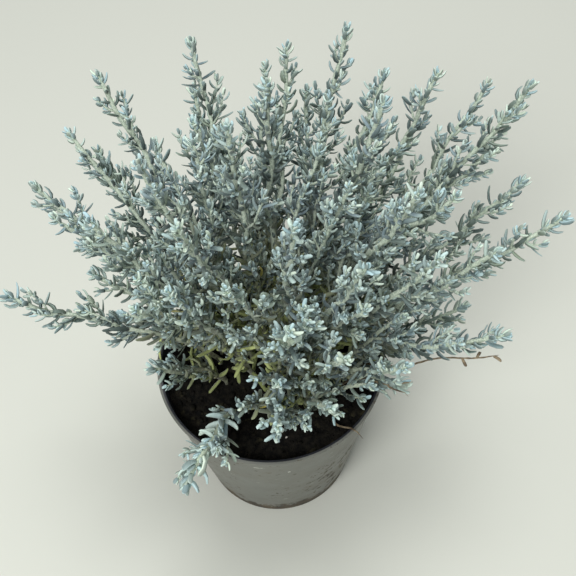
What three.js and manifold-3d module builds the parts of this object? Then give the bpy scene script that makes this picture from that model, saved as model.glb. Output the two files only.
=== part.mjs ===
// A potted curry plant: a dwarf bush of upright silver-leaved shoots in a thin black nursery pot.
// Millimetres, +Z up. The origin is the centre of the pot's underside, and the front is towards -Y.

import * as THREE from "three";
import { mergeVertices } from "three/addons/utils/BufferGeometryUtils.js";
import Module from "manifold-3d";

const wasm = await Module();
wasm.setup();

// Pot: a thin moulded cone with a small rim bead, and drain holes in its floor.
const POT_HEIGHT = 92;
const RIM_RADIUS = 52.5;
const RIM_BEAD = 0.8;
const RIM_BEAD_HEIGHT = 2.5;
const BASE_RADIUS = 38.5;
const BASE_CHAMFER = 1;
const POT_WALL = 1.2;
const DRAIN_HOLES = 8;
const DRAIN_RADIUS = 4;
const DRAIN_CIRCLE = 27;
const DRAIN_SIDES = 8;
const ROUND_SIDES = 32;

// Soil: fills the pot to a few millimetres under the rim, with a crumbly top.
const FIT_GAP = 0.3;
const SOIL_TOP = 84;
const SOIL_RINGS = [1, 0.88, 0.76, 0.64];
const SOIL_LUMP = 1.1;
const HOLE_DEPTH = 12;
const HOLE_SIDES = 6;

// Leading shoots, one row each: azimuth in degrees from the back towards the right, lean in degrees
// from upright, and reach in millimetres from the crown to its topmost leaf. The fourth value is how
// many side shoots it carries, where that isn't one, and the fifth is how far its tip sags.
const LEADING_SHOOTS = [
  // The back of the bush, which stands highest in the photograph.
  [-16, 37, 156],
  [9, 39, 150],
  [24, 38, 161],
  [34, 44, 148],
  [47, 43, 157],
  [63, 47, 174],
  // The left and right edges.
  [-40, 41, 157],
  [-51, 47, 144],
  [-64, 52, 139],
  [71, 56, 146],
  [80, 60, 153, 0],
  [-70, 62, 98],
  [-84, 65, 128],
  [94, 74, 113],
  // The low shoots behind.
  [-28, 64, 126],
  [5, 66, 126],
  [38, 66, 130],
  // The upright shoots of the middle.
  [-33, 6, 150, 2],
  [-75, 18, 142, 2],
  [-88, 29, 132],
  [10, 14, 152, 2],
  [59, 22, 153, 2],
  [97, 24, 145, 2],
  [150, 11, 138, 2],
  [128, 22, 130],
  [108, 32, 132],
  [95, 44, 134],
  [168, 24, 118],
  [-130, 22, 118],
  // The short shoots in front, and three that lie low over the rim.
  [128, 45, 100],
  [148, 33, 106],
  [156, 44, 88],
  [177, 43, 100, 0],
  [-108, 58, 68, 0],
  [-92, 78, 57, 0],
  [-152, 73, 84, 0, 0.9],
  [108, 80, 68, 0, 0.2],
];
const START_UPRIGHT = 0.5;
const TIP_UPTURN = 0.25;
const SWEEP = 0.3;

// Side shoots leave the lower part of a leading shoot to one side, bent clear of what stands there.
const SIDE_SHOOTS = 1;
const SIDE_FROM = 0.2;
const SIDE_SPACING = 0.14;
const SIDE_REACH = [0.78, 0.95];
const SIDE_TURN = [12, 16];
const SIDE_LIFT = [-6, 6];
const SIDE_BENDS = [1, 1.4, 0.7, 1.8, 0.4, 2.2];

// Stems: felted, with the leaf bases lying close along them, and pointed at the tip. The first lengths
// place their feet in the soil.
const CROWN_SPREAD = 26;
const FOOT_SPACING = 5.4;
const FOOT_ROUNDS = 80;
const FOOT_LENGTH = 2;
const STEM_RADIUS = 1.4;
const SIDE_RADIUS = 0.8;
const TIP_RADIUS = 1.15;
const TIP_LENGTH = 3;
const TUFT_LENGTH = 5;
const STEM_STEPS = 4;
const SIDE_STEPS = 2;

// Leaves: short, narrow and thick, set one by one around the stem.
const LEAF_LENGTH = 9.6;
const LEAF_WIDTH = 2.5;
const LEAF_THICKNESS = 1.2;
const LEAF_REACH = 1.3;
const LEAF_WIDEST = 0.62;
const LEAF_CURL = 0.14;
const LEAF_SUNK = 0.3;
const TIP_SHORTER = 0.3;
const LEAF_VARIES = [0.9, 1.15];
const LEAF_STEP = 8.2;
const BARE_SHARE = 0.26;
const CROWDING = 0.8;
const GOLDEN_ANGLE = 137.5;
const SHOOT_TURN = 90;
const SPRAY_TURN = 47;
const LIFT_LOW = 62;
const LIFT_TIP = 38;
const LEAF_TURNS = [0, 28, -28, 56, -56, 90, -90];
const CLEARANCE = 0.3;
const RIM_BAND = 4;

// Slivers smaller than this are dropped after a join or a cut.
const SMOOTHING = 0.05;

const UP = new THREE.Vector3(0, 0, 1);
const CROWN = new THREE.Vector3(0, 0, SOIL_TOP);

// A draw from a range that is always the same for the same two numbers.
function draw([low, high], a, b) {
  const x = Math.sin(a * 12.9898 + b * 78.233) * 43758.5453;
  return THREE.MathUtils.lerp(low, high, x - Math.floor(x));
}

function heading(azimuth, lean) {
  const turn = THREE.MathUtils.degToRad(azimuth);
  const tilt = THREE.MathUtils.degToRad(lean);
  return new THREE.Vector3(Math.sin(turn) * Math.sin(tilt), Math.cos(turn) * Math.sin(tilt), Math.cos(tilt));
}

// The level direction across a shoot, clockwise seen from above.
function sidewaysOf(direction) {
  return new THREE.Vector3(direction.y, -direction.x, 0).normalize();
}

// A direction turned a few degrees sideways and upwards.
function bentFrom(direction, turn, lift) {
  const sideways = sidewaysOf(direction);
  const upwards = sideways.clone().cross(direction);
  return direction.clone()
    .addScaledVector(sideways, Math.tan(THREE.MathUtils.degToRad(turn)))
    .addScaledVector(upwards, Math.tan(THREE.MathUtils.degToRad(lift)))
    .normalize();
}

function mixed(a, shareA, b, shareB) {
  return a.clone().multiplyScalar(shareA).addScaledVector(b, shareB).normalize();
}

// Solids

function solidOf(geometry) {
  const bare = geometry.clone();
  bare.deleteAttribute("normal");
  bare.deleteAttribute("uv");
  const merged = mergeVertices(bare, 1e-4);
  return new wasm.Manifold(new wasm.Mesh({
    numProp: 3,
    vertProperties: merged.attributes.position.array,
    triVerts: new Uint32Array(merged.index.array),
  }));
}

function meshOf(name, solid, material) {
  const { vertProperties, triVerts } = solid.getMesh();
  const geometry = new THREE.BufferGeometry();
  geometry.setAttribute("position", new THREE.BufferAttribute(vertProperties, 3));
  geometry.setIndex(new THREE.BufferAttribute(triVerts, 1));
  geometry.computeVertexNormals();
  const mesh = new THREE.Mesh(geometry, material);
  mesh.name = name;
  return mesh;
}

// Puts each vertex of a geometry where the given function says.
function moved(geometry, place) {
  const position = geometry.attributes.position;
  for (let i = 0; i < position.count; i++) {
    const spot = place(new THREE.Vector3().fromBufferAttribute(position, i));
    position.setXYZ(i, spot.x, spot.y, spot.z);
  }
  return geometry;
}

function turned(profile) {
  const points = profile.map(([radius, height]) => new THREE.Vector2(radius, height));
  return new THREE.LatheGeometry(points, ROUND_SIDES).rotateX(Math.PI / 2);
}

function uprightRod(radius, sides, centre, low, high) {
  return new THREE.CylinderGeometry(radius, radius, high - low, sides)
    .rotateX(Math.PI / 2)
    .translate(centre.x, centre.y, (low + high) / 2);
}

// Pot

function potRadiusAt(height) {
  return THREE.MathUtils.mapLinear(height, 0, POT_HEIGHT, BASE_RADIUS, RIM_RADIUS - RIM_BEAD);
}

function potSolid() {
  const beadFoot = POT_HEIGHT - RIM_BEAD_HEIGHT;
  const wall = turned([
    [0, 0],
    [BASE_RADIUS - BASE_CHAMFER, 0],
    [potRadiusAt(BASE_CHAMFER), BASE_CHAMFER],
    [potRadiusAt(beadFoot - RIM_BEAD), beadFoot - RIM_BEAD],
    [RIM_RADIUS, beadFoot],
    [RIM_RADIUS, POT_HEIGHT],
    [potRadiusAt(POT_HEIGHT) - POT_WALL, POT_HEIGHT],
    [potRadiusAt(POT_WALL) - POT_WALL, POT_WALL],
    [0, POT_WALL],
  ]);
  let pot = solidOf(wall);
  for (let i = 0; i < DRAIN_HOLES; i++) {
    const turn = (2 * Math.PI * i) / DRAIN_HOLES;
    const centre = new THREE.Vector3(Math.cos(turn), Math.sin(turn), 0).multiplyScalar(DRAIN_CIRCLE);
    pot = pot.subtract(solidOf(uprightRod(DRAIN_RADIUS, DRAIN_SIDES, centre, -POT_WALL, 2 * POT_WALL)));
  }
  return pot.simplify(SMOOTHING);
}

// Soil

function soilLump(x, y) {
  const broad = Math.sin(0.31 * x + 1.3) * Math.cos(0.27 * y - 0.6);
  const fine = Math.sin(0.55 * x - 0.48 * y);
  return SOIL_LUMP * (0.6 * broad + 0.4 * fine);
}

function soilSolid(feet) {
  const bottom = POT_WALL + FIT_GAP;
  const edge = potRadiusAt(SOIL_TOP) - POT_WALL - FIT_GAP;
  const floor = potRadiusAt(bottom) - POT_WALL - FIT_GAP;
  const crown = edge * SOIL_RINGS.at(-1);
  const rings = SOIL_RINGS.map((share) => [share * edge, SOIL_TOP]);
  const isRough = (v) => v.z > SOIL_TOP - FIT_GAP && Math.hypot(v.x, v.y) > crown + FIT_GAP;
  const body = moved(turned([[0, bottom], [floor, bottom], ...rings, [0, SOIL_TOP]]), (v) =>
    isRough(v) ? v.setZ(v.z + soilLump(v.x, v.y)) : v);
  const holeRadius = (STEM_RADIUS + FIT_GAP) / Math.cos(Math.PI / HOLE_SIDES);
  let soil = solidOf(body);
  for (const foot of feet) {
    const hole = uprightRod(holeRadius, HOLE_SIDES, foot, SOIL_TOP - HOLE_DEPTH, SOIL_TOP + HOLE_DEPTH);
    soil = soil.subtract(solidOf(hole));
  }
  return soil.simplify(SMOOTHING);
}

// Growth: where each shoot stands and how it bends

// Each leading shoot leaves the soil on its own side of the crown, pushed clear of its neighbours.
function feetOf(shoots) {
  const feet = shoots.map(([azimuth, lean]) => heading(azimuth, lean).setZ(0).multiplyScalar(CROWN_SPREAD));
  for (let round = 0; round < FOOT_ROUNDS; round++)
    for (const foot of feet)
      for (const other of feet) {
        const away = foot.clone().sub(other);
        const missing = FOOT_SPACING - away.length();
        if (foot !== other && missing > 0) foot.addScaledVector(away.normalize(), missing / 2);
      }
  return feet.map((foot) => foot.setZ(SOIL_TOP));
}

// A shoot as straight lengths of even size along its curve, and last its short pointed tip.
function shootAlong(curve, steps, rest) {
  const shoulder = 1 - TIP_LENGTH / curve.getLength();
  const shares = [...Array(steps + 1).keys()].map((i) => (shoulder * i) / steps);
  const points = [...shares, 1].map((share) => curve.getPointAt(share));
  const route = new THREE.CurvePath();
  points.slice(1).forEach((point, i) => route.add(new THREE.LineCurve3(points[i], point)));
  return { points, route, ...rest };
}

// One smooth sweep from a first to a last direction.
function sweep(start, leave, tip, arrive, handle) {
  return new THREE.CubicBezierCurve3(
    start,
    start.clone().addScaledVector(leave, handle),
    tip.clone().addScaledVector(arrive, -handle),
    tip,
  );
}

function leadingShoot(foot, [azimuth, lean, reach, , sag = 0]) {
  const direction = heading(azimuth, lean);
  const start = foot.clone().addScaledVector(UP, FOOT_LENGTH);
  const tip = CROWN.clone().addScaledVector(direction, reach - TUFT_LENGTH);
  const leave = mixed(direction, 1 - START_UPRIGHT, UP, START_UPRIGHT);
  const arrive = mixed(direction, 1 - TIP_UPTURN, UP, TIP_UPTURN - sag);
  const curve = sweep(start, leave, tip, arrive, SWEEP * reach);
  const shoot = shootAlong(curve, STEM_STEPS, { direction, foot: STEM_RADIUS, sides: 4 });
  shoot.points.unshift(foot.clone().addScaledVector(UP, FIT_GAP - HOLE_DEPTH));
  return shoot;
}

function sideShoot(leading, from, reach, turn, lift) {
  const direction = bentFrom(leading.direction, turn, lift);
  const start = leading.route.getPointAt(from);
  const tip = CROWN.clone().addScaledVector(direction, reach - TUFT_LENGTH);
  const span = tip.clone().sub(start);
  const leave = leading.route.getTangentAt(from).add(span.clone().normalize()).normalize();
  const arrive = mixed(direction, 1 - TIP_UPTURN, UP, TIP_UPTURN);
  const curve = sweep(start, leave, tip, arrive, SWEEP * span.length());
  return shootAlong(curve, SIDE_STEPS, { direction, foot: SIDE_RADIUS, sides: 3 });
}

// What has grown so far, as straight lengths with a radius and the number of their spray.
const grown = [];

function lengthsOf({ route, foot }, spray) {
  const radius = Math.max(foot, TIP_RADIUS);
  return route.curves.map(({ v1, v2 }) => ({ line: new THREE.Line3(v1, v2), radius, spray }));
}

function touches(a, b) {
  const room = a.radius + b.radius + CLEARANCE;
  const middles = a.line.getCenter(new THREE.Vector3()).distanceTo(b.line.getCenter(new THREE.Vector3()));
  if (middles > room + (a.line.distance() + b.line.distance()) / 2) return false;
  return a.line.distanceSqToLine3(b.line) < room * room;
}

// A point too close to the soil, or to the rim in a band about the wall.
function inPot(point, radius) {
  const out = Math.hypot(point.x, point.y);
  const level = out < RIM_RADIUS - RIM_BAND ? SOIL_TOP + SOIL_LUMP : POT_HEIGHT;
  return out < RIM_RADIUS + radius + CLEARANCE && point.z < level + radius + CLEARANCE;
}

// Lengths that touch neither the pot nor anything grown, apart from what may be their own.
function areClear(lengths, isOwn) {
  return lengths.every((length) => {
    const points = [length.line.end, length.line.getCenter(new THREE.Vector3())];
    if (points.some((point) => inPot(point, length.radius))) return false;
    return grown.every((other) => isOwn(other) || !touches(length, other));
  });
}

function growSideShoots(leading, [, , reach, count = SIDE_SHOOTS], spray) {
  const shoots = [];
  for (let k = 0; k < count; k++) {
    const side = (spray + k) % 2 === 0 ? 1 : -1;
    const from = SIDE_FROM + SIDE_SPACING * k;
    const sideReach = reach * draw(SIDE_REACH, spray, 11 + k);
    const turn = side * draw(SIDE_TURN, spray, 5 + k);
    const lift = draw(SIDE_LIFT, spray, 8 + k);
    for (const bend of SIDE_BENDS) {
      const shoot = sideShoot(leading, from, sideReach, turn * bend, lift);
      const lengths = lengthsOf(shoot, spray);
      if (!areClear(lengths, (other) => other.spray === spray)) continue;
      grown.push(...lengths);
      shoots.push(shoot);
      break;
    }
  }
  return shoots;
}

// A leaf's line, from the middle of the stem: lift is its angle off the stem, turn its place around it.
function leafAt(shoot, share, turn, lift, length) {
  const ahead = shoot.route.getTangentAt(share);
  const sideways = sidewaysOf(shoot.direction);
  const outward = sideways.clone().cross(ahead).normalize();
  const away = sideways.clone().multiplyScalar(Math.cos(turn)).addScaledVector(outward, Math.sin(turn));
  const along = ahead.clone().multiplyScalar(Math.cos(lift)).addScaledVector(away, Math.sin(lift));
  const face = ahead.clone().multiplyScalar(Math.sin(lift)).addScaledVector(away, -Math.cos(lift));
  return { root: shoot.route.getPointAt(share), along, face, length };
}

function leafLine(leaf) {
  const start = leaf.root.clone().addScaledVector(leaf.along, 2 * TIP_RADIUS + LEAF_THICKNESS);
  const end = leaf.root.clone().addScaledVector(leaf.along, leaf.length);
  end.addScaledVector(leaf.face, leaf.length * LEAF_CURL / 2);
  return { line: new THREE.Line3(start, end), radius: LEAF_REACH };
}

// Leaves climb each shoot by the golden angle, standing off below and closing into a tuft at the tip.
// A leaf that would cross something turns around the stem until it is clear, or is left out.
function growLeaves(shoot, spray, order) {
  const leaves = [];
  const span = shoot.route.getLength();
  const steps = Math.round((span * (1 - BARE_SHARE)) / LEAF_STEP);
  for (let i = 0; i <= steps + 1; i++) {
    const height = Math.min(i / steps, 1);
    const inTuft = height === 1;
    const share = THREE.MathUtils.lerp(BARE_SHARE, 1 - TIP_LENGTH / span, height ** CROWDING);
    const lift = THREE.MathUtils.degToRad(THREE.MathUtils.lerp(LIFT_LOW, LIFT_TIP, height ** 2));
    const length = LEAF_LENGTH * (1 - TIP_SHORTER * height ** 3) * draw(LEAF_VARIES, spray + 0.37 * order, i);
    const firstTurn = GOLDEN_ANGLE * i + SHOOT_TURN * order + SPRAY_TURN * spray;
    for (const extra of LEAF_TURNS) {
      const leaf = leafAt(shoot, share, THREE.MathUtils.degToRad(firstTurn + extra), lift, length);
      const standing = { ...leafLine(leaf), spray, shoot };
      const isOwn = (other) => other.spray === spray && (!other.shoot || (inTuft && other.shoot === shoot));
      if (!areClear([standing], isOwn)) continue;
      grown.push(standing);
      leaves.push(leaf);
      break;
    }
  }
  return leaves;
}

// Sprays: a tapered stem with its side shoots and leaves, as one body

function limb({ points, direction, foot, sides }) {
  const steps = points.length - 1;
  const sideways = sidewaysOf(direction);
  return moved(new THREE.ConeGeometry(1, steps, sides, steps), (v) => {
    const i = Math.round(v.y + steps / 2);
    const ahead = points[Math.min(i + 1, steps)].clone().sub(points[Math.max(i - 1, 0)]).normalize();
    const outward = sideways.clone().cross(ahead).normalize();
    const radius = THREE.MathUtils.lerp(foot, TIP_RADIUS, i / (steps - 1));
    const swell = i === steps ? 0 : radius / (1 - i / steps);
    return points[i].clone()
      .addScaledVector(ahead.cross(outward), v.x * swell)
      .addScaledVector(outward, v.z * swell);
  });
}

// A three-sided blade: flat above, keeled below, widest past its middle, its tip curling to the stem.
function blade({ root, along, face, length }) {
  const across = face.clone().cross(along);
  const foot = root.clone().addScaledVector(along, -LEAF_SUNK);
  return moved(new THREE.SphereGeometry(1, 3, 2), (v) => {
    if (v.y < -0.5) return foot.clone();
    const share = v.y > 0.5 ? 1 : LEAF_WIDEST;
    const spot = root.clone()
      .addScaledVector(along, length * share)
      .addScaledVector(face, length * LEAF_CURL * share ** 2);
    if (share === 1) return spot;
    return spot
      .addScaledVector(across, (v.x / Math.cos(Math.PI / 6)) * (LEAF_WIDTH / 2))
      .addScaledVector(face, LEAF_THICKNESS * (0.5 - (v.z + 0.5) / 1.5));
  });
}

function spraySolid(shoots, leaves) {
  const pieces = [...shoots.map(limb), ...leaves.map(blade)].map(solidOf);
  return wasm.Manifold.union(pieces).simplify(SMOOTHING);
}

const potMaterial = new THREE.MeshStandardMaterial({ color: 0x4a4c4b, roughness: 0.45, metalness: 0 });
const soilMaterial = new THREE.MeshStandardMaterial({ color: 0x1d1712, roughness: 1, metalness: 0 });
const leafMaterial = new THREE.MeshStandardMaterial({ color: 0xa9b8b0, roughness: 0.85, metalness: 0 });

const feet = feetOf(LEADING_SHOOTS);
const leading = LEADING_SHOOTS.map((row, spray) => leadingShoot(feet[spray], row));
leading.forEach((shoot, spray) => grown.push(...lengthsOf(shoot, spray)));
const sprays = leading.map((shoot, spray) =>
  [shoot, ...growSideShoots(shoot, LEADING_SHOOTS[spray], spray)]);
const foliage = sprays.map((shoots, spray) =>
  shoots.flatMap((shoot, order) => growLeaves(shoot, spray, order)));

const plant = new THREE.Group();
plant.add(meshOf("pot", potSolid(), potMaterial));
plant.add(meshOf("soil", soilSolid(feet), soilMaterial));
sprays.forEach((shoots, spray) => {
  const name = "leafy_stem_" + String(spray + 1).padStart(2, "0");
  plant.add(meshOf(name, spraySolid(shoots, foliage[spray]), leafMaterial));
});

export default plant;
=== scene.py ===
# A potted curry plant: a dwarf bush of silver-felted leafy shoots, rooted in dark peat in a thin
# black nursery pot. The front is towards -Y, and the pot stands on the floor at z = 0. Metres.

import math

import bmesh
import bpy
import numpy as np
from mathutils import Matrix, Vector, noise


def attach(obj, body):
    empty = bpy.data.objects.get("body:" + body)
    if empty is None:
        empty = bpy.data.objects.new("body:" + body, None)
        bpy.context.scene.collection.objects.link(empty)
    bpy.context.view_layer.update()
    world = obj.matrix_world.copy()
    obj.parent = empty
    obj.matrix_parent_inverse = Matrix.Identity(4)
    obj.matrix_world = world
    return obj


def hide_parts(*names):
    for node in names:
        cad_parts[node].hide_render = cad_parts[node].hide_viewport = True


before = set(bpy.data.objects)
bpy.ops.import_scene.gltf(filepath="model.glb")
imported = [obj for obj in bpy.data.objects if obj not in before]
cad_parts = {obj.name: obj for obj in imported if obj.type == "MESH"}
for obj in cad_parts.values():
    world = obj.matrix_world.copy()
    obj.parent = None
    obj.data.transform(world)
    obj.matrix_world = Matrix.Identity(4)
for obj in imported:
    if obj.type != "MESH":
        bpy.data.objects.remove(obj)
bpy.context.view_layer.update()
bpy.ops.object.select_all(action="DESELECT")

# Pot: a thin round nursery pot, moulded in black plastic that has gone dull with dust. It widens
# evenly to a small rolled bead at the rim, and its floor has a ring of eight drain holes.
POT_HEIGHT = 0.092
RIM_RADIUS = 0.0525
RIM_BEAD = 0.0008
RIM_BEAD_HEIGHT = 0.0025
BASE_RADIUS = 0.0385
BASE_CHAMFER = 0.001
POT_WALL = 0.0012
POT_SIDES = 128
DRAIN_HOLES = 8
DRAIN_RADIUS = 0.004
DRAIN_CIRCLE = 0.027
EDGE_ROUNDING = 0.0003
THIN_DUST, THICK_DUST = (0.155, 0.16, 0.141, 1), (0.2, 0.201, 0.172, 1)
DARK_MUD, PALE_MUD = (0.04, 0.03, 0.019, 1), (0.125, 0.09, 0.05, 1)
BARE_SCUFF = (0.62, 0.62, 0.58, 1)
CLEAN_BLACK = (0.016, 0.018, 0.024, 1)


def pot_radius_at(height):
    return BASE_RADIUS + (RIM_RADIUS - RIM_BEAD - BASE_RADIUS) * height / POT_HEIGHT


def pick(piece, kind, wanted):
    """In edit mode, selects only the verts, edges or faces of piece that wanted says yes to."""
    bpy.ops.mesh.select_mode(type={"verts": "VERT", "edges": "EDGE", "faces": "FACE"}[kind])
    bpy.ops.mesh.select_all(action="DESELECT")
    shape = bmesh.from_edit_mesh(piece.data)
    for part in getattr(shape, kind):
        if wanted(part):
            part.select = True
    shape.select_flush_mode()
    bmesh.update_edit_mesh(piece.data)


def settle(piece):
    """Puts the piece's place in its mesh, so that the object itself sits at the origin."""
    piece.data.transform(piece.matrix_world)
    piece.matrix_world = Matrix.Identity(4)


def finish_modifier(piece, kind, **values):
    modifier = piece.modifiers.new(kind.title(), kind)
    for key, value in values.items():
        setattr(modifier, key, value)
    bpy.context.view_layer.objects.active = piece
    bpy.ops.object.modifier_apply(modifier=modifier.name)


bpy.ops.mesh.primitive_cone_add(
    vertices=POT_SIDES, radius1=BASE_RADIUS, radius2=RIM_RADIUS - RIM_BEAD, depth=POT_HEIGHT,
    location=(0, 0, POT_HEIGHT / 2))
pot = bpy.context.active_object
pot.name = "nursery_pot"
settle(pot)
bpy.ops.object.mode_set(mode="EDIT")
for height in (BASE_CHAMFER, POT_HEIGHT - RIM_BEAD_HEIGHT - RIM_BEAD, POT_HEIGHT - RIM_BEAD_HEIGHT):
    bpy.ops.mesh.select_all(action="SELECT")
    bpy.ops.mesh.bisect(plane_co=(0, 0, height), plane_no=(0, 0, 1))
# The bead stands out from the wall all round the top.
pick(pot, "verts", lambda v: v.co.z > POT_HEIGHT - RIM_BEAD_HEIGHT - 1e-5)
widening = RIM_RADIUS / (RIM_RADIUS - RIM_BEAD)
bpy.ops.transform.resize(value=(widening, widening, 1), center_override=(0, 0, 0))
# The edge of the foot is rounded off.
pick(pot, "verts", lambda v: v.co.z < 1e-5)
narrowing = (BASE_RADIUS - BASE_CHAMFER) / BASE_RADIUS
bpy.ops.transform.resize(value=(narrowing, narrowing, 1), center_override=(0, 0, 0))
# The inside is drawn down from the mouth to the floor.
pick(pot, "faces", lambda f: f.normal.z > 0.9 and f.calc_center_median().z > POT_HEIGHT - 1e-4)
bpy.ops.mesh.inset(thickness=POT_WALL + RIM_BEAD)
inner_floor = pot_radius_at(POT_WALL) - POT_WALL
inner_mouth = RIM_RADIUS - POT_WALL - RIM_BEAD
bpy.ops.mesh.extrude_region_move(TRANSFORM_OT_translate={"value": (0, 0, POT_WALL - POT_HEIGHT)})
narrowing = inner_floor / inner_mouth
bpy.ops.transform.resize(value=(narrowing, narrowing, 1), center_override=(0, 0, POT_WALL))
bpy.ops.object.mode_set(mode="OBJECT")
for i in range(DRAIN_HOLES):
    turn = 2 * math.pi * i / DRAIN_HOLES
    bpy.ops.mesh.primitive_cylinder_add(
        vertices=24, radius=DRAIN_RADIUS, depth=4 * POT_WALL,
        location=(DRAIN_CIRCLE * math.cos(turn), DRAIN_CIRCLE * math.sin(turn), POT_WALL / 2))
    cutter = bpy.context.active_object
    finish_modifier(pot, "BOOLEAN", object=cutter, operation="DIFFERENCE", solver="EXACT")
    bpy.data.objects.remove(cutter)
finish_modifier(
    pot, "BEVEL", width=EDGE_ROUNDING, segments=2, limit_method="ANGLE", angle_limit=math.radians(25))
bpy.ops.object.select_all(action="DESELECT")
pot.select_set(True)
bpy.context.view_layer.objects.active = pot
bpy.ops.object.shade_smooth_by_angle(angle=math.radians(35))


def new_material(name):
    material = bpy.data.materials.new(name)
    material.use_nodes = True
    return material, material.node_tree, material.node_tree.nodes["Principled BSDF"]


def add_node(tree, kind, inputs=(), **settings):
    """A shader node. inputs is a list of (input, value or output socket to link)."""
    made = tree.nodes.new("ShaderNode" + kind)
    for key, value in settings.items():
        setattr(made, key, value)
    for key, value in inputs:
        if isinstance(value, bpy.types.NodeSocket):
            tree.links.new(value, made.inputs[key])
        else:
            made.inputs[key].default_value = value
    return made


def ramp(tree, value, low, high, first=0.0, last=1.0):
    """Runs from first to last as value goes from low to high, and stays there beyond them."""
    run = add_node(tree, "MapRange", [
        ("Value", value), ("From Min", low), ("From Max", high), ("To Min", first), ("To Max", last)])
    return run.outputs["Result"]


def speckle(tree, place, scale, low, high, detail=4.0):
    """Noise at a scale per metre, drawn out so that low reads 0 and high reads 1."""
    grain = add_node(tree, "TexNoise", [("Vector", place), ("Scale", scale), ("Detail", detail)])
    return ramp(tree, grain.outputs["Fac"], low, high)


def blend_colours(tree, share, first, second):
    mixed = add_node(tree, "Mix", data_type="RGBA")
    for socket, value in ((mixed.inputs[0], share), (mixed.inputs[6], first), (mixed.inputs[7], second)):
        if isinstance(value, bpy.types.NodeSocket):
            tree.links.new(value, socket)
        else:
            socket.default_value = value
    return mixed.outputs[2]


def combine(tree, operation, first, second, clamp=True):
    made = add_node(tree, "Math", [(0, first), (1, second)], operation=operation, use_clamp=clamp)
    return made.outputs[0]


dull_plastic, tree, shader = new_material("dull_black_plastic")
place = add_node(tree, "TexCoord").outputs["Object"]


def worn_spot(centre, size):
    """1 inside a ragged spot on the wall and 0 outside it. size is its half width, depth and height."""
    shift = add_node(tree, "Mapping", [
        ("Vector", place), ("Location", centre), ("Scale", size)], vector_type="TEXTURE")
    away = add_node(tree, "VectorMath", [(0, shift.outputs["Vector"])], operation="LENGTH")
    ragged = combine(
        tree, "ADD", away.outputs["Value"], speckle(tree, place, 700, 0.35, 0.65), clamp=False)
    return ramp(tree, ragged, 1.5, 1.1)


height = add_node(tree, "SeparateXYZ", [("Vector", place)]).outputs["Z"]
dust = speckle(tree, place, 60, 0.35, 0.75)
colour = blend_colours(tree, dust, THIN_DUST, THICK_DUST)
# Dried mud clings to the foot in a ragged band, thickest at the front. More of it has run down the
# front right of the wall, and flecks have splashed up all round.
low_band = ramp(tree, height, 0.018, 0.001, 0.0, 0.5)
ragged = combine(tree, "ADD", low_band, speckle(tree, place, 150, 0.0, 1.0), clamp=False)
mud = ramp(tree, ragged, 0.66, 0.86)
smear = worn_spot((0.027, -0.033, 0.036), (0.016, 0.016, 0.032))
mud = combine(tree, "MAXIMUM", mud, combine(tree, "MULTIPLY", smear, speckle(tree, place, 240, 0.5, 0.62)))
foot_mud = worn_spot((0.006, -0.038, 0.002), (0.026, 0.012, 0.009))
mud = combine(tree, "MAXIMUM", mud, foot_mud)
flecks = combine(
    tree, "MULTIPLY", speckle(tree, place, 330, 0.62, 0.68, 2.0), speckle(tree, place, 45, 0.42, 0.55))
mud = combine(tree, "MAXIMUM", mud, combine(tree, "MULTIPLY", flecks, 0.7))
mud_colour = blend_colours(tree, speckle(tree, place, 110, 0.4, 0.62), DARK_MUD, PALE_MUD)
colour = blend_colours(tree, combine(tree, "MULTIPLY", mud, 0.85), colour, mud_colour)
# Pale scuffs lie level where pots have rubbed together under the rim.
level = add_node(tree, "Mapping", [("Vector", place), ("Scale", (1.0, 1.0, 6.0))]).outputs["Vector"]
scuff = combine(
    tree, "MULTIPLY", speckle(tree, level, 150, 0.69, 0.73, 3.0), speckle(tree, place, 30, 0.5, 0.6))
scuff = combine(tree, "MAXIMUM", scuff, worn_spot((-0.0075, -0.0505, 0.083), (0.0026, 0.003, 0.0005)))
scuff = combine(tree, "MAXIMUM", scuff, worn_spot((0.0059, -0.049, 0.0742), (0.0007, 0.003, 0.0009)))
colour = blend_colours(tree, scuff, colour, BARE_SCUFF)
# The inside stays clean, so it shows the black of the plastic.
level = add_node(tree, "VectorMath", [(0, place), (1, (1, 1, 0))], operation="MULTIPLY").outputs["Vector"]
radius = add_node(tree, "VectorMath", [(0, level)], operation="LENGTH").outputs["Value"]
wall = ramp(
    tree, height, 0.0, POT_HEIGHT, BASE_RADIUS - EDGE_ROUNDING, RIM_RADIUS - RIM_BEAD - EDGE_ROUNDING)
colour = blend_colours(tree, combine(tree, "LESS_THAN", radius, wall), colour, CLEAN_BLACK)
tree.links.new(colour, shader.inputs["Base Color"])
rough = ramp(tree, dust, 0.0, 1.0, 0.4, 0.62)
rough = combine(tree, "MAXIMUM", rough, combine(tree, "MULTIPLY", mud, 0.95))
tree.links.new(rough, shader.inputs["Roughness"])
relief = combine(
    tree, "ADD", combine(tree, "MULTIPLY", mud, 0.6), speckle(tree, place, 900, 0.2, 0.8), clamp=False)
bump = add_node(tree, "Bump", [("Height", relief), ("Strength", 0.25), ("Distance", 0.0003)])
tree.links.new(bump.outputs["Normal"], shader.inputs["Normal"])
pot.data.materials.append(dull_plastic)
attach(pot, "root")
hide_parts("pot")

# Peat: dark, damp and crumbly, filled to a few millimetres under the rim. Its top lies in soft lumps
# with crumbs, fibres and a few white grains of perlite on it.
SOIL_TOP = 0.084
SOIL_GAP = 0.0003
SOIL_RINGS = 60
SOIL_LUMP = 0.0011
SOIL_SIDES = 160
WET_PEAT, DRIER_PEAT, FIBRE = (0.0025, 0.0024, 0.002, 1), (0.014, 0.012, 0.0085, 1), (0.045, 0.04, 0.022, 1)
soil_floor = POT_WALL + SOIL_GAP
soil_edge = pot_radius_at(SOIL_TOP) - POT_WALL - SOIL_GAP


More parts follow.
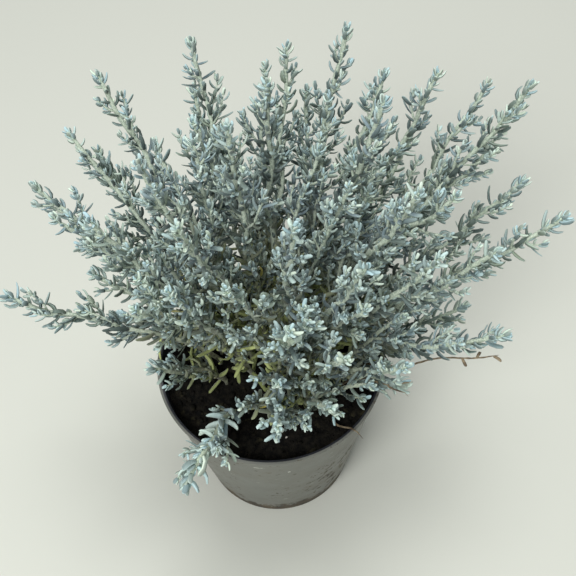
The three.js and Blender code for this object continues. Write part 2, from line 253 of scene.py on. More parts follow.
def soil_height(x, y):
    """How the peat's top rises and falls about its level, in metres."""
    broad = math.sin(310 * x + 1.3) * math.cos(270 * y - 0.6)
    fine = math.sin(550 * x - 480 * y)
    crumbs = noise.fractal(Vector((x, y, 0.2)) * 260, 1.0, 2.2, 4)
    edge = min(1, (soil_edge - math.hypot(x, y)) / 0.004)
    return SOIL_LUMP * ((0.6 * broad + 0.4 * fine) * edge + crumbs * (0.25 + 0.75 * edge))


bpy.ops.mesh.primitive_cone_add(
    vertices=SOIL_SIDES, radius1=pot_radius_at(soil_floor) - POT_WALL - SOIL_GAP, radius2=soil_edge,
    depth=SOIL_TOP - soil_floor, location=(0, 0, (SOIL_TOP + soil_floor) / 2))
peat = bpy.context.active_object
peat.name = "peat"
settle(peat)
bpy.ops.object.mode_set(mode="EDIT")
pick(peat, "faces", lambda f: f.normal.z > 0.9)
for i in range(SOIL_RINGS - 1):
    bpy.ops.mesh.inset(thickness=soil_edge / SOIL_RINGS)
bpy.ops.mesh.poke()
bpy.ops.object.mode_set(mode="OBJECT")
for vertex in peat.data.vertices:
    x, y, z = vertex.co
    if z > SOIL_TOP - 1e-5:
        vertex.co.z += soil_height(x, y)
peat.data.shade_smooth()

damp_peat, tree, shader = new_material("damp_peat")
place = add_node(tree, "TexCoord").outputs["Object"]
clod = speckle(tree, place, 420, 0.38, 0.66)
colour = blend_colours(tree, clod, WET_PEAT, DRIER_PEAT)
colour = blend_colours(tree, speckle(tree, place, 170, 0.6, 0.72), colour, FIBRE)
tree.links.new(colour, shader.inputs["Base Color"])
shader.inputs["Roughness"].default_value = 0.95
shader.inputs["Specular IOR Level"].default_value = 0.2
bump = add_node(tree, "Bump", [
    ("Height", speckle(tree, place, 1300, 0.25, 0.75)), ("Strength", 0.8), ("Distance", 0.0006)])
tree.links.new(bump.outputs["Normal"], shader.inputs["Normal"])
peat.data.materials.append(damp_peat)
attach(peat, "root")
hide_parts("soil")

rng = np.random.default_rng(57)


def scattered(name, model, spots, material):
    """Copies of a model's mesh, one for each 4x4 matrix in spots, as one piece."""
    corners = np.array([v.co for v in model.data.vertices])
    faces = [tuple(p.vertices) for p in model.data.polygons]
    places = [corners @ np.array(m)[:3, :3].T + np.array(m)[:3, 3] for m in spots]
    mesh = bpy.data.meshes.new(name)
    count = len(corners)
    copied = [tuple(i + k * count for i in f) for k in range(len(places)) for f in faces]
    mesh.from_pydata(np.concatenate(places), [], copied)
    mesh.shade_smooth()
    mesh.materials.append(material)
    piece = bpy.data.objects.new(name, mesh)
    bpy.context.scene.collection.objects.link(piece)
    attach(piece, "root")
    return piece


# Crumbs: loose bits of peat and bark, each one lump, and a few white grains of perlite. They lie where
# they fell as the pot was filled.
SMALL_CRUMBS, LARGE_CRUMBS, PERLITE_GRAINS = 400, 70, 9
DUSTY_PERLITE, CLEAN_PERLITE = (0.5, 0.46, 0.38, 1), (0.75, 0.73, 0.68, 1)
bpy.ops.mesh.primitive_uv_sphere_add(segments=6, ring_count=4, radius=1)
crumb = bpy.context.active_object
for vertex in crumb.data.vertices:
    vertex.co *= 1 + 0.6 * noise.noise(vertex.co * 1.3 + Vector((4, 1, 7)))


def resting(x, y, size):
    """A matrix that lays a lump of that size on the peat at x, y, turned at random and a little flat."""
    turn = Matrix.Rotation(rng.uniform(0, 2 * math.pi), 4, Vector(rng.normal(size=3)).normalized())
    shape = Matrix.Diagonal((size * rng.uniform(0.8, 1.3), size * rng.uniform(0.6, 1.1), size * 0.7, 1))
    return Matrix.Translation((x, y, SOIL_TOP + soil_height(x, y) + 0.25 * size)) @ turn @ shape


def on_peat(count, small, large):
    """Matrices for that many lumps, from small to large, spread evenly over the peat."""
    spots = []
    for i in range(count):
        out = (soil_edge - 0.003) * math.sqrt(rng.uniform(0.02, 1))
        turn = rng.uniform(0, 2 * math.pi)
        spots.append(resting(out * math.cos(turn), out * math.sin(turn), rng.uniform(small, large)))
    return spots


crumb_spots = on_peat(SMALL_CRUMBS, 0.0005, 0.0013) + on_peat(LARGE_CRUMBS, 0.0013, 0.0024)
peat_crumbs = scattered("peat_crumbs", crumb, crumb_spots, damp_peat)

white_grain, tree, shader = new_material("white_perlite")
place = add_node(tree, "TexCoord").outputs["Object"]
colour = blend_colours(tree, speckle(tree, place, 900, 0.35, 0.65), DUSTY_PERLITE, CLEAN_PERLITE)
tree.links.new(colour, shader.inputs["Base Color"])
shader.inputs["Roughness"].default_value = 0.85
scattered("perlite", crumb, on_peat(PERLITE_GRAINS, 0.0006, 0.001), white_grain)
bpy.data.objects.remove(crumb)

# Leafy stems: felted shoots that fan out from the crown and each carry a side shoot or two. Narrow
# silver leaves climb them in a spiral and close into a pale tuft at the tip.
MM = 0.001
CROWN = np.array([0.0, 0.0, 84.0])
UP = np.array([0.0, 0.0, 1.0])
# One row for each leading shoot: azimuth in degrees from the back towards the right, lean in degrees
# from upright, reach in millimetres from the crown to the topmost leaf, how far each side shoot is
# bent off its usual line, and how far the tip sags.
LEADING_SHOOTS = [
    (-16, 37, 156, [1], 0), (9, 39, 150, [1], 0), (24, 38, 161, [1], 0), (34, 44, 148, [1], 0),
    (47, 43, 157, [1], 0), (63, 47, 174, [0.7], 0), (-40, 41, 157, [1], 0), (-51, 47, 144, [1], 0),
    (-64, 52, 139, [1], 0), (71, 56, 146, [1], 0), (80, 60, 153, [], 0), (-70, 62, 98, [0.7], 0),
    (-84, 65, 128, [], 0), (94, 74, 113, [1], 0), (-28, 64, 126, [1], 0), (5, 66, 126, [1], 0),
    (38, 66, 130, [1], 0), (-33, 6, 150, [1, 1.4], 0), (-75, 18, 142, [1, 1], 0), (-88, 29, 132, [1], 0),
    (10, 14, 152, [1, 1], 0), (59, 22, 153, [1, 1], 0), (97, 24, 145, [1, 1], 0), (150, 11, 138, [1, 1], 0),
    (128, 22, 130, [0.7], 0), (108, 32, 132, [1], 0), (95, 44, 134, [1], 0), (168, 24, 118, [0.4], 0),
    (-130, 22, 118, [1.4], 0), (128, 45, 100, [1], 0), (148, 33, 106, [1], 0), (156, 44, 88, [1], 0),
    (177, 43, 100, [], 0), (-108, 58, 68, [], 0), (-92, 78, 57, [], 0), (-152, 73, 84, [], 0.9),
    (108, 80, 68, [], 0.2),
]
CROWN_SPREAD = 26
FOOT_SPACING = 5.4
TIP_UPTURN = 0.25
TUFT_LENGTH = 5
GOLDEN_ANGLE = math.radians(137.5)
# Radius of each kind of stem at its foot and at its tip, and how deep a leading one goes into the peat.
LEADING_STEM, SIDE_STEM, TWIG_STEM = (1.2, 0.95), (0.9, 0.85), (0.6, 0.55)
ROOTING_DEPTH = 11.5
# A full-grown leaf, how much shorter one is at the tip of a shoot, over what length of shoot that
# difference fades, and how much shorter and narrower still a leaf is in the bud, and how long a bud is.
LEAF_LENGTH, YOUNG_SHORTER, GROWN_AFTER, BUD_SHORTER = 9.2, 4.0, 13, 2.2
LEAF_WIDTH, BUD_NARROWER, BUD_REACH = 2.25, 0.5, 2.3
LEAF_STEP, TWIG_STEP, OLD_LEAF_STEP = 2.2, 6.5, 5.0
# Leaves stay clear of the peat, out to its edge, and of the rim beyond that.
PEAT_LEVEL, PEAT_EDGE, RIM_LEVEL, RIM_EDGE, LEAF_CLEARANCE = 85.5, 48.3, 92.6, 54.2, 0.6
BLUISH = (0.055, 0.09, 0.12, 1), (0.34, 0.46, 0.54, 1)
SAGE = (0.06, 0.09, 0.065, 1), (0.43, 0.52, 0.37, 1)
TIP_FELT, EDGE_FELT, FINE_FELT = (0.56, 0.72, 0.66, 1), (0.56, 0.72, 0.68, 1), (0.6, 0.74, 0.68, 1)
YOUNG = (0.54, 0.76, 0.82, 1), (0.82, 0.93, 0.76, 1)
# The dark grey-green for undersides and for leaves deep in the bush is painted shade; faded leaves are a
# dull sage.
UNDERSIDE_PAINTED_SHADE, DEPTH_PAINTED_SHADE, FADED = (0.06, 0.085, 0.075, 1), (0.04, 0.056, 0.048, 1), (0.27, 0.29, 0.19, 1)
OLIVE, YELLOW = ((0.15, 0.18, 0.06, 1), (0.52, 0.59, 0.24, 1)), (0.6, 0.52, 0.12, 1)
BARK = (0.1, 0.095, 0.06, 1), (0.3, 0.33, 0.21, 1)
STEM_FELT = (0.34, 0.42, 0.33, 1), (0.68, 0.76, 0.62, 1)


def unit(v):
    return v / np.linalg.norm(v)


def heading(azimuth, lean):
    turn, tilt = math.radians(azimuth), math.radians(lean)
    return np.array([math.sin(turn) * math.sin(tilt), math.cos(turn) * math.sin(tilt), math.cos(tilt)])


def sideways_of(direction):
    return unit(np.array([direction[1], -direction[0], 0.0]))


def bent_from(direction, turn, lift):
    sideways = sideways_of(direction)
    upwards = np.cross(sideways, direction)
    return unit(direction + sideways * math.tan(math.radians(turn)) + upwards * math.tan(math.radians(lift)))


def draw(low, high, a, b):
    """A number from low to high that is always the same for the same a and b."""
    x = math.sin(a * 12.9898 + b * 78.233) * 43758.5453
    return low + (high - low) * (x - math.floor(x))


def feet_of(shoots):
    """Where the shoots leave the peat: each on its own side, pushed clear of its neighbours."""
    feet = [heading(row[0], row[1]) * (CROWN_SPREAD, CROWN_SPREAD, 0) for row in shoots]
    for settling in range(80):
        for i, foot in enumerate(feet):
            for j, other in enumerate(feet):
                away = foot - other
                far = np.linalg.norm(away)
                if i != j and far < FOOT_SPACING:
                    foot += away / far * (FOOT_SPACING - far) / 2
    return [foot + CROWN for foot in feet]


class Route:
    """One sweep from a first to a last direction, measured along its length. handle is how far each
    direction carries, sway how far the route wanders off the sweep, and phase where that starts."""

    def __init__(self, start, leave, tip, arrive, handle, sway=0.0, phase=0.0):
        t = np.linspace(0, 1, 161)[:, None]
        a, b, c, d = start, start + leave * handle, tip - arrive * handle, tip
        self.points = a * (1 - t) ** 3 + 3 * b * t * (1 - t) ** 2 + 3 * c * t ** 2 * (1 - t) + d * t ** 3
        span = d - a
        sideways = unit(np.cross(span, UP))
        swing = t * np.linalg.norm(span) / 6.5 + phase
        wander = sideways * np.sin(swing) + unit(np.cross(sideways, span)) * np.cos(1.3 * swing)
        self.points += sway * np.sin(math.pi * t) * wander
        self.far = np.concatenate([[0], np.cumsum(np.linalg.norm(np.diff(self.points, axis=0), axis=1))])
        self.length = self.far[-1]

    def at(self, share):
        far = np.clip(share, 0, 1) * self.length
        return np.stack([np.interp(far, self.far, line) for line in self.points.T], -1)

    def ahead(self, share):
        step = 0.012
        gone = self.at(np.minimum(share + step, 1)) - self.at(np.maximum(share - step, 0))
        return gone / np.linalg.norm(gone, axis=-1, keepdims=True)


def leading_route(foot, azimuth, lean, reach, sag):
    direction = heading(azimuth, lean)
    tip = CROWN + direction * (reach - TUFT_LENGTH)
    leave = unit(direction + UP)
    arrive = unit(direction * (1 - TIP_UPTURN) + UP * (TIP_UPTURN - sag))
    return Route(foot + UP * 2, leave, tip, arrive, 0.3 * reach, 1.3, azimuth), direction


def side_route(leading, direction, spray, k, reach, bend):
    side = 1 if (spray + k) % 2 == 0 else -1
    share = 0.2 + 0.14 * k
    reach = reach * draw(0.78, 0.95, spray, 11 + k)
    turn = side * draw(12, 16, spray, 5 + k) * bend
    direction = bent_from(direction, turn, draw(-6, 6, spray, 8 + k))
    start = leading.at(share)
    tip = CROWN + direction * (reach - TUFT_LENGTH)
    span = tip - start
    leave = unit(leading.ahead(share) + unit(span))
    arrive = unit(direction * (1 - TIP_UPTURN) + UP * TIP_UPTURN)
    return Route(start, leave, tip, arrive, 0.3 * np.linalg.norm(span), 1.0, turn), direction


class Model:
    """What repeats is modelled once as an object. Its corners and faces are then kept for copying."""

    def __init__(self, piece):
        self.corners = np.array([v.co for v in piece.data.vertices])
        self.faces = [tuple(p.vertices) for p in piece.data.polygons]
        bpy.data.objects.remove(piece)


def leaf_model(sides, rings):
    """A narrow blunt blade, drawn in at its foot. It lies along +Y from its foot, one unit long, with its
    face up. rings gives how wide and how thick each ring is, against a ball's."""
    bpy.ops.mesh.primitive_uv_sphere_add(
        segments=sides, ring_count=len(rings) + 1, radius=0.5, rotation=(-math.pi / 2, 0, 0),
        location=(0, 0.5, 0))
    blade = bpy.context.active_object
    settle(blade)
    bpy.ops.object.mode_set(mode="EDIT")
    places = sorted({round(v.co.y, 4) for v in blade.data.vertices if 0.01 < v.co.y < 0.99})
    for middle, (wide, thick) in zip(places, rings):
        pick(blade, "verts", lambda v: abs(v.co.y - middle) < 1e-3)
        bpy.ops.transform.resize(value=(wide, 1, thick), center_override=(0, middle, 0))
    bpy.ops.object.mode_set(mode="OBJECT")
    return Model(blade)


LEAF = leaf_model(6, [(1.1, 1.2), (0.86, 1.0), (1.04, 0.95), (1.5, 1.2)])
TINY_LEAF = leaf_model(5, [(1.0, 1.0), (1.0, 1.0), (1.25, 1.1)])


def stem_model(sides, rings):
    """One length of stem, straight up from the origin and one unit long."""
    bpy.ops.mesh.primitive_cylinder_add(
        vertices=sides, radius=1, depth=1, end_fill_type="TRIFAN", location=(0, 0, 0.5))
    rod = bpy.context.active_object
    settle(rod)
    bpy.ops.object.mode_set(mode="EDIT")
    for i in range(1, rings):
        bpy.ops.mesh.select_all(action="SELECT")
        bpy.ops.mesh.bisect(plane_co=(0, 0, i / rings), plane_no=(0, 0, 1))
    bpy.ops.object.mode_set(mode="OBJECT")
    return Model(rod)


STEM = stem_model(7, 54)
SHORT_STEM = stem_model(5, 5)


class Spray:
    """What one leafy stem is made of so far: corners in millimetres, faces, and each corner's tone,
    which is how old the part is plus the painted shade put on it, how far along it the corner lies, the
    part's own chance, and 1 for the upper face of a leaf or 0 for its underside."""

    def __init__(self):
        self.corners, self.faces, self.tones, self.count = [], [], [], 0

    def add(self, corners, faces, age_and_painted_shade, along, chance, upper):
        self.corners.append(corners)
        self.faces.extend(tuple(i + self.count for i in f) for f in faces)
        tones = np.empty((len(corners), 4))
        tones[:, 0], tones[:, 1], tones[:, 2], tones[:, 3] = age_and_painted_shade, along, chance, upper
        self.tones.append(tones)
        self.count += len(corners)


def age_at(point, young, old):
    """0 out in the light, where growth is young and silver, and 1 down in the crown. young and old are
    how far from the crown each is reached."""
    out = np.linalg.norm(point - CROWN, axis=-1)
    return np.clip((young - out) / (young - old), 0, 1)


def add_stem(spray, model, route, direction, radii, first=None):
    """Lays the straight stem along a route. first is a point in the peat that it comes up from."""
    thick, thin = radii
    share = model.corners[:, 2]
    middle, ahead = route.at(share), route.ahead(share)
    sideways = sideways_of(direction)
    outward = np.cross(ahead, sideways)
    outward /= np.linalg.norm(outward, axis=1, keepdims=True)
    far, turn = share * route.length, np.arctan2(model.corners[:, 1], model.corners[:, 0])
    # Old leaf bases make it lumpy.
    lumps = 0.2 * np.sin(1.9 * far + 2 * turn) + 0.17 * np.sin(3.1 * far - 3 * turn)
    radius = (thick + (thin - thick) * share) * (1 + lumps)
    radius *= np.clip((route.length - far + 1) / 6, 0.3, 1)
    corners = middle + (model.corners[:, :1] * sideways + model.corners[:, 1:2] * outward) * radius[:, None]
    if first is not None:
        bottom = share < 1e-4
        corners[bottom] += (first - route.at(0))
    spray.add(corners, model.faces, age_at(middle, 85, 28), -1.0, share, 1.0)


def leaf_clears_pot(foot, tip):
    for spot in (foot + (tip - foot) * 0.6, tip):
        out = math.hypot(spot[0], spot[1])
        level = PEAT_LEVEL if out < PEAT_EDGE else RIM_LEVEL
        if out < RIM_EDGE and spot[2] < level + LEAF_CLEARANCE:
            return False
    return True


def add_leaf(spray, model, foot, ahead, away, lift, length, width, age_and_painted_shade, bend, taper=0.0):
    """A leaf from foot, lifted off the way ahead by lift. It bends back towards the shoot by bend, and
    narrows to its tip by taper."""
    along = ahead * math.cos(lift) + away * math.sin(lift)
    face = ahead * math.sin(lift) - away * math.cos(lift)
    across = np.cross(along, face)
    sway = rng.uniform(-0.25, 0.25)
    share = model.corners[:, 1]
    width = width * (1 + taper * (0.45 - share))
    angle, thick = bend * share, model.corners[:, 2] * width * 0.6
    x = model.corners[:, 0] * width + sway * length * share ** 2
    y = length * np.sin(angle) / bend - thick * np.sin(angle)
    z = length * (1 - np.cos(angle)) / bend + thick * np.cos(angle)
    corners = foot + x[:, None] * across + y[:, None] * along + z[:, None] * face
    if leaf_clears_pot(foot, corners[share > 0.99].mean(0)):
        upper = np.clip(0.5 + model.corners[:, 2] / 0.6, 0, 1)
        spray.add(corners, model.faces, age_and_painted_shade, share, rng.uniform(), upper)


TIP_LEAVES = np.array([4.6, 3.8, 3.1, 2.5, 1.9, 1.4, 0.9, 0.5, 0.2])


def painted_shade_share(direction):
    """How much painted shade a shoot's leaves get for the shade of its neighbours: 1 if upright, and less as
    it leans out.
    """
    return 0.2 + 0.8 * direction[2] ** 2


def add_leaves(spray, route, direction, bare, phase, radius, size, step, tip_leaves, fresh, extra_painted_shade=0.0):
    """Leaves up a shoot by the golden angle, standing out like hooks and closing into a bud at the tip.
    The lowest share of the shoot that bare says has none. Leaves are young for about as far from the
    tip as fresh says. Away from the tip they are darkened with painted shade, most on an upright shoot,
    and all by extra_painted_shade more, or painted paler, a painted light, where it is negative."""
    span = route.length
    shade = 0.42 * painted_shade_share(direction)
    sideways = sideways_of(direction)
    places = np.concatenate([np.arange(bare * span, span - tip_leaves[0] - 0.6, step), span - tip_leaves])
    for i, far in enumerate(places):
        share = far / span
        to_tip = span - far
        middle, ahead = route.at(share), route.ahead(share)
        outward = unit(np.cross(sideways, ahead))
        turn = GOLDEN_ANGLE * i + phase + rng.uniform(-0.3, 0.3)
        away = sideways * math.cos(turn) + outward * math.sin(turn)
        foot = middle + away * radius * 0.6
        old = float(age_at(foot, 88, 20)) * (1 - math.exp(-to_tip / fresh))
        bud = math.exp(-to_tip / BUD_REACH)
        lift = math.radians(80 - 58 * bud + rng.uniform(-20, 16))
        length = LEAF_LENGTH - YOUNG_SHORTER * math.exp(-to_tip / GROWN_AFTER) - BUD_SHORTER * bud
        length *= size * rng.uniform(0.6, 1.15)
        width = size * (LEAF_WIDTH - BUD_NARROWER * bud) * rng.uniform(0.82, 1.2)
        age_and_painted_shade = old * rng.uniform(0.7, 1.1) - 0.6 * math.exp(-to_tip / 9.0)
        # Painted shade darkens the leaf away from the tip, most on an upright shoot.
        age_and_painted_shade += extra_painted_shade + shade * (1 - math.exp(-to_tip / 20))
        bend = rng.uniform(0.4, 2.0) * (1 - 0.6 * bud)
        add_leaf(spray, LEAF, foot, ahead, away, lift, length, width, age_and_painted_shade, bend, rng.uniform(0.1, 0.95))
        for tiny in range(rng.integers(0, 4) if to_tip > 4 else 0):
            # Tiny leaves sit in the axil.
            turn += rng.uniform(-0.9, 0.9)
            away = sideways * math.cos(turn) + outward * math.sin(turn)
            lift, length = math.radians(rng.uniform(10, 48)), size * rng.uniform(2.2, 4.2)
            foot = middle + away * radius * 0.7 + ahead
            add_leaf(spray, TINY_LEAF, foot, ahead, away, lift, length, 1.6 * size, age_and_painted_shade - 0.35, 0.3)


def add_twigs(spray, route, direction, phase):
    """Twigs in the leaf axils: short tufts low down and near the tip of a shoot, longer between."""
    span = route.length
    sideways = sideways_of(direction)
    for i, far in enumerate(np.arange(0.2 * span, span - 11, TWIG_STEP)):
        share = far / span
        start, ahead = route.at(share), route.ahead(share)
        outward = unit(np.cross(sideways, ahead))
        turn = GOLDEN_ANGLE * i * 2 + phase + rng.uniform(-0.5, 0.5)
        away = sideways * math.cos(turn) + outward * math.sin(turn)
        long = rng.uniform(5.5, 8) + rng.uniform(0, 18) * math.sin(math.pi * share) ** 1.5
        leave = unit(ahead * 0.6 + away)
        tip = start + unit(ahead * (1 + 0.03 * long) + away * 0.9) * long
        if leaf_clears_pot(start, tip + unit(tip - start) * 5):
            twig = Route(start, leave, tip, unit(ahead + 0.2 * away), 0.3 * long, 0.3, turn)
            add_stem(spray, SHORT_STEM, twig, direction, TWIG_STEM)
            # Twigs further in along a shoot get extra painted shade.
            extra_painted_shade = 0.34 * painted_shade_share(direction) * (1 - math.exp((far - span) / 30))
            add_leaves(spray, twig, direction, 0.25, turn, 0.5, 0.86, 2.0, TIP_LEAVES[::2], 5, extra_painted_shade)


def add_old_leaves(spray, route, direction, phase):
    """Long limp leaves, gone olive and yellow in the shade, on the lowest part of a shoot."""
    sideways = sideways_of(direction)
    for i, far in enumerate(np.arange(4, 0.34 * route.length, OLD_LEAF_STEP)):
        share = far / route.length
        middle, ahead = route.at(share), route.ahead(share)
        outward = unit(np.cross(sideways, ahead))
        turn = GOLDEN_ANGLE * i + phase
        away = sideways * math.cos(turn) + outward * math.sin(turn)
        lift, bend = math.radians(rng.uniform(45, 95)), rng.choice([-1, 1]) * rng.uniform(0.4, 1.2)
        length, width = rng.uniform(9, 15), rng.uniform(1.8, 2.5)
        add_leaf(spray, LEAF, middle + away * 0.6, ahead, away, lift, length, width, 1.0, bend, 0.4)


felted_leaf, tree, shader = new_material("felted_leaf")
place = add_node(tree, "TexCoord").outputs["Object"]
tone = add_node(tree, "Attribute", attribute_type="GEOMETRY", attribute_name="tone").outputs
parts = add_node(tree, "SeparateColor", [("Color", tone["Color"])]).outputs
age_and_painted_shade, along, chance, upper = parts["Red"], parts["Green"], parts["Blue"], tone["Alpha"]
# Silver leaves run from blue-grey to sage, their undersides darkened with painted shade. The felt is
# thickest on the young tips, and along the rolled edges, which have an upper of a half.
hue = speckle(tree, place, 38, 0.38, 0.62, 2.0)
paler = ramp(tree, chance, 0.3, 0.98)
silver = blend_colours(tree, hue, blend_colours(tree, paler, *BLUISH), blend_colours(tree, paler, *SAGE))
silver = blend_colours(tree, ramp(tree, along, 0.45, 1.0, 0.0, 0.42), silver, TIP_FELT)
off_edge = combine(tree, "ABSOLUTE", combine(tree, "SUBTRACT", upper, 0.5, clamp=False), 0.0)
silver = blend_colours(tree, ramp(tree, off_edge, 0.22, 0.0, 0.0, 0.4), silver, EDGE_FELT)
felt = speckle(tree, place, 1400, 0.3, 0.7, 3.0)
silver = blend_colours(tree, combine(tree, "MULTIPLY", felt, 0.14), silver, FINE_FELT)
young = blend_colours(tree, chance, *YOUNG)
silver = blend_colours(tree, ramp(tree, age_and_painted_shade, 0.0, -0.45, 0.0, 0.85), silver, young)
# Undersides are mixed towards a dark grey-green: painted shade.
silver = blend_colours(tree, ramp(tree, upper, 0.05, 0.5, 0.4, 1.0), UNDERSIDE_PAINTED_SHADE, silver)
# Further in they are darkened to a dark grey-green, painted shade for the depth of the bush, and then
# fade to a dull sage. Down in the crown they go olive, and a few of them yellow.
silver = blend_colours(tree, ramp(tree, age_and_painted_shade, 0.05, 0.36, 0.0, 0.72), silver, DEPTH_PAINTED_SHADE)
silver = blend_colours(tree, ramp(tree, age_and_painted_shade, 0.35, 0.6, 0.0, 0.75), silver, FADED)
olive = blend_colours(tree, ramp(tree, chance, 0.96, 0.98), blend_colours(tree, chance, *OLIVE), YELLOW)
leaf_colour = blend_colours(tree, ramp(tree, age_and_painted_shade, 0.55, 0.85), silver, olive)
# Stems are marked by a place along of -1: sage felt above, and below it grey-green and brown bark.
bark = blend_colours(tree, speckle(tree, place, 500, 0.35, 0.65), *BARK)
stem_colour = blend_colours(tree, age_and_painted_shade, blend_colours(tree, felt, *STEM_FELT), bark)
is_stem = combine(tree, "LESS_THAN", along, -0.5)
tree.links.new(blend_colours(tree, is_stem, leaf_colour, stem_colour), shader.inputs["Base Color"])
shader.inputs["Roughness"].default_value = 0.82
shader.inputs["Specular IOR Level"].default_value = 0.3
shader.inputs["Sheen Weight"].default_value = 0.2
shader.inputs["Sheen Roughness"].default_value = 0.4
bump = add_node(tree, "Bump", [("Height", felt), ("Strength", 0.35), ("Distance", 0.0002)])
tree.links.new(bump.outputs["Normal"], shader.inputs["Normal"])

feet = feet_of(LEADING_SHOOTS)
for number, (azimuth, lean, reach, bends, sag) in enumerate(LEADING_SHOOTS):
    spray = Spray()
    foot = feet[number]
    lead, direction = leading_route(foot, azimuth, lean, reach, sag)
    # The upright shoots are the most crowded and have the smallest leaves. The one that hangs over the
    # rim has the largest.
    size = np.interp(lean, (45, 65), (0.88, 1.12)) + 0.25 * sag
    add_stem(spray, STEM, lead, direction, LEADING_STEM, foot - UP * ROOTING_DEPTH)
    # A hanging shoot gets a negative extra_painted_shade, so its leaves are painted paler: painted light.
    bare, step, fresh, extra_painted_shade = 0.16 + 0.15 * sag, LEAF_STEP - 0.6 * sag, 18 + 60 * sag, -0.65 * sag
    add_leaves(spray, lead, direction, bare, number * 0.82, 1.0, size, step, TIP_LEAVES, fresh, extra_painted_shade)
    add_twigs(spray, lead, direction, number * 1.3)
    if sag < 0.5:
        add_old_leaves(spray, lead, direction, number * 0.7)
    for k, bend in enumerate(bends):
        side, side_direction = side_route(lead, direction, number, k, reach, bend)
        phase = number + 2.1 * k + 1
        add_stem(spray, STEM, side, side_direction, SIDE_STEM)
        add_leaves(spray, side, side_direction, 0.12, phase, 0.8, 0.95 * size, LEAF_STEP, TIP_LEAVES, 18)
        add_twigs(spray, side, side_direction, number * 1.9 + k)
    name = f"leafy_stem_{number + 1:02d}"
    mesh = bpy.data.meshes.new(name + "_spray")
    mesh.from_pydata(np.concatenate(spray.corners) * MM, [], spray.faces)
    tones = mesh.attributes.new("tone", "FLOAT_COLOR", "POINT")
    tones.data.foreach_set("color", np.concatenate(spray.tones).astype(np.float32).ravel())
    mesh.shade_smooth()
    mesh.materials.append(felted_leaf)
    piece = bpy.data.objects.new(name + "_spray", mesh)
    bpy.context.scene.collection.objects.link(piece)
    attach(piece, "root")
    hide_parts(name)

# Litter: dead twigs still rooted at the right of the crown, one that has fallen across the rim, and dry
# brown leaves shed on the peat. They are brittle and bare, without felt.
DARK_DRY, PALE_DRY = (0.11, 0.08, 0.05, 1), (0.34, 0.27, 0.17, 1)
DRY_LEAF_WIDTH = 1.7
litter = Spray()


def add_dead_twig(start, tip, leave, arrive, radius):
    direction = unit(tip - start)
    twig = Route(start, leave, tip, arrive, 0.3 * np.linalg.norm(tip - start), 1.2, 2.0)
    add_stem(litter, SHORT_STEM if twig.length < 25 else STEM, twig, direction, (radius, 0.6 * radius))
    return twig


def add_dry_leaf(foot, turn, length):
    ahead = np.array([math.cos(turn), math.sin(turn), 0.06])
    add_leaf(litter, LEAF, np.array(foot), unit(ahead), UP, 0.0, length, DRY_LEAF_WIDTH, 1.0, 0.5, 0.3)


bare = add_dead_twig(np.array([26.0, -12, 81]), np.array([61.9, -22.6, 104]), unit(UP + [0.8, 0, 0]),
                     np.array([1.0, 0, 0]), 0.62)
add_dead_twig(bare.at(0.72), np.array([60.0, -26.5, 98]), unit(np.array([1, -0.4, 0])),
              unit(np.array([0.4, -0.3, -1])), 0.45)
long_bare = add_dead_twig(np.array([27.0, -5.5, 81]), np.array([101.0, -12, 105]),
                          unit(UP + [1.2, 0, 0]), unit(np.array([1, 0, 0.2])), 0.55)
for share, turn in ((0.8, -1.3), (0.88, 1.0), (0.97, -0.5)):
    add_dry_leaf(long_bare.at(share), turn, 4.5)
add_dead_twig(np.array([26.5, -30.0, 85]), np.array([38.5, -44.5, 96]), unit(np.array([1, -1.2, 0.9])),
              unit(np.array([1, -1.2, 0.4])), 0.5)
for x, y, turn, length in (
        (30, -34, 0.4, 8), (27, -36.5, 2.2, 6), (33, -31.5, -0.7, 7), (24, -39, 1.2, 5), (12, -38, 0.2, 6),
        (-4, -41, 2.7, 5), (3, -33, 1.0, 7), (-32, -22, 0.6, 6), (-36, -10, 2.0, 7), (36, -24, 1.6, 6)):
    add_dry_leaf((x, y, 1000 * (SOIL_TOP + soil_height(x * MM, y * MM)) + 0.9), turn, length)

dead_leaf, tree, shader = new_material("dead_leaf")
place = add_node(tree, "TexCoord").outputs["Object"]
colour = blend_colours(tree, speckle(tree, place, 400, 0.35, 0.65), DARK_DRY, PALE_DRY)
tree.links.new(colour, shader.inputs["Base Color"])
shader.inputs["Roughness"].default_value = 0.85
mesh = bpy.data.meshes.new("litter")
mesh.from_pydata(np.concatenate(litter.corners) * MM, [], litter.faces)
mesh.shade_smooth()
mesh.materials.append(dead_leaf)
piece = bpy.data.objects.new("litter", mesh)
bpy.context.scene.collection.objects.link(piece)
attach(piece, "root")

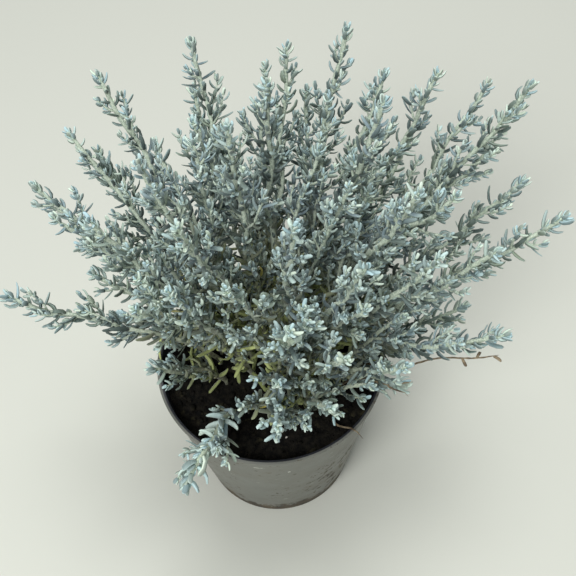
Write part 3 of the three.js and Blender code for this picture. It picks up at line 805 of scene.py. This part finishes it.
# Studio: a plain pale floor, a wide soft light above, a smaller one at the front left, and dim light from
# the room all round. Both lights are aimed at the middle of the plant.
FLOOR_SIZE = 6
LIT_SPOT = (0, 0, 0.12)
bpy.ops.mesh.primitive_plane_add(size=FLOOR_SIZE)
floor = bpy.context.active_object
floor.name = "floor"
pale_floor, tree, shader = new_material("pale_floor")
shader.inputs["Base Color"].default_value = (0.67, 0.685, 0.61, 1)
shader.inputs["Roughness"].default_value = 0.7
floor.data.materials.append(pale_floor)

room = bpy.data.worlds.new("room")
bpy.context.scene.world = room
room.use_nodes = True
room.node_tree.nodes["Background"].inputs["Color"].default_value = (0.93, 0.97, 1.0, 1)
room.node_tree.nodes["Background"].inputs["Strength"].default_value = 0.24
bpy.context.scene.view_settings.view_transform = "Standard"


def add_light(name, spot, size, watts):
    data = bpy.data.lights.new(name, "AREA")
    data.shape, data.size, data.energy = "DISK", size, watts
    light = bpy.data.objects.new(name, data)
    light.location = spot
    light.rotation_euler = (Vector(LIT_SPOT) - Vector(spot)).to_track_quat("-Z", "Y").to_euler()
    bpy.context.scene.collection.objects.link(light)


add_light("ceiling_light", (0.1, 0.45, 1.7), 1.0, 16)
add_light("front_light", (-0.4, -0.75, 1.1), 0.6, 11)

# Camera: handheld above the front of the pot, and tipped down at it.
CAMERA_SPOT = (0.00966, -0.1975, 0.4333)
CAMERA_DOWN = math.radians(55.3)
CAMERA_ROLL = math.radians(-2.95)
onward = Vector((0, math.cos(CAMERA_DOWN), -math.sin(CAMERA_DOWN)))
level_right = Vector((1, 0, 0))
level_up = level_right.cross(onward)
right = level_right * math.cos(CAMERA_ROLL) + level_up * math.sin(CAMERA_ROLL)
upright = right.cross(onward)
lens = bpy.data.cameras.new("camera")
lens.sensor_width, lens.lens = 36, 53.125
lens.clip_start = 0.01
camera = bpy.data.objects.new("camera", lens)
turned = Matrix((right, upright, -onward)).transposed().to_4x4()
camera.matrix_world = Matrix.Translation(CAMERA_SPOT) @ turned
bpy.context.scene.collection.objects.link(camera)
bpy.context.scene.camera = camera
